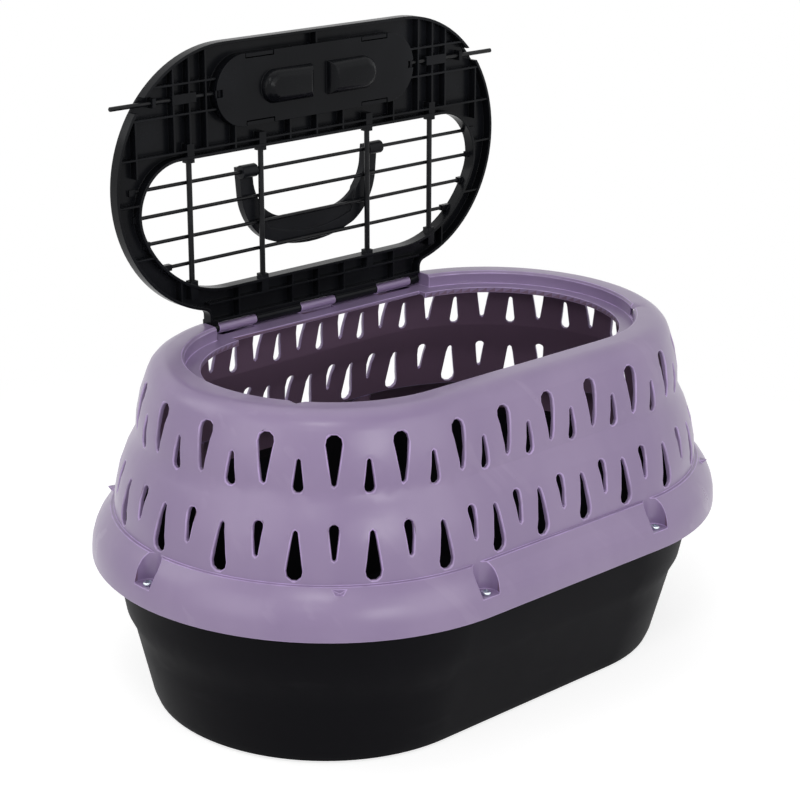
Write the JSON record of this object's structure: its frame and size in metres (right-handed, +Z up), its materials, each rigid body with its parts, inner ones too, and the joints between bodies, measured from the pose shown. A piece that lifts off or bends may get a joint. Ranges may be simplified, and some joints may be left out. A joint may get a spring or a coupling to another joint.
{
  "type": "top-load pet carrier",
  "caption": "Two-part vented plastic pet carrier with a hinged top lid that has a wire grille, a folding carry handle and a two-rod pinch latch.",
  "frame": {"origin": "middle of the base on the floor", "axes": "+X along the carrier's long side, +Y towards the hinge side, +Z up. The lid is stored open, leaning on its stop."},
  "size_m": [0.517, 0.34, 0.4662],
  "materials": {
    "tub": "fine matt moulded",
    "shell": "satin moulded",
    "screws": "zinc plated",
    "pin": "plain wire",
    "lid": "satin moulded",
    "grille": "satin black coat",
    "handle": "satin moulded",
    "slider": "satin moulded",
    "rods": "satin black coat",
    "springs": "spring wire"
  },
  "bodies": {
    "case": {"base_tub": "tub", "upper_shell": "shell", "case_screws": "screws", "hinge_pin": "pin"},
    "lid": {"lid_frame": "lid", "long_bar_1": "grille", "long_bar_2": "grille", "long_bar_3": "grille", "long_bar_4": "grille", "cross_bar_1": "grille", "cross_bar_2": "grille", "cross_bar_3": "grille", "cross_bar_4": "grille", "latch_cover": "lid", "front_latch_spring": "springs", "back_latch_spring": "springs"},
    "handle": {"carry_handle": "handle"},
    "left_latch": {"left_slider": "slider", "left_rod": "rods"},
    "right_latch": {"right_slider": "slider", "right_rod": "rods"}
  },
  "joints": [
    {"name": "lid_hinge", "type": "hinge", "parent": "case", "child": "lid", "pos_m": [0, 0.113, 0.2539], "axis": [1, 0, 0], "range_deg": [0, 91.44]},
    {"name": "handle_pivot", "type": "hinge", "parent": "lid", "child": "handle", "pos_m": [0, 0.11904, 0.36678], "axis": [1, 0, 0], "range_deg": [0, 140]},
    {"name": "left_latch_slide", "type": "slide", "parent": "lid", "child": "left_latch", "axis": [1, 0, 0], "range_m": [0, 0.022], "stiffness_N_per_m": 150, "springref_m": -0.01, "deforming": ["front_latch_spring", "back_latch_spring"]},
    {"name": "right_latch_slide", "type": "slide", "parent": "lid", "child": "right_latch", "axis": [-1, 0, 0], "range_m": [0, 0.022], "stiffness_N_per_m": 150, "springref_m": -0.01}
  ]
}
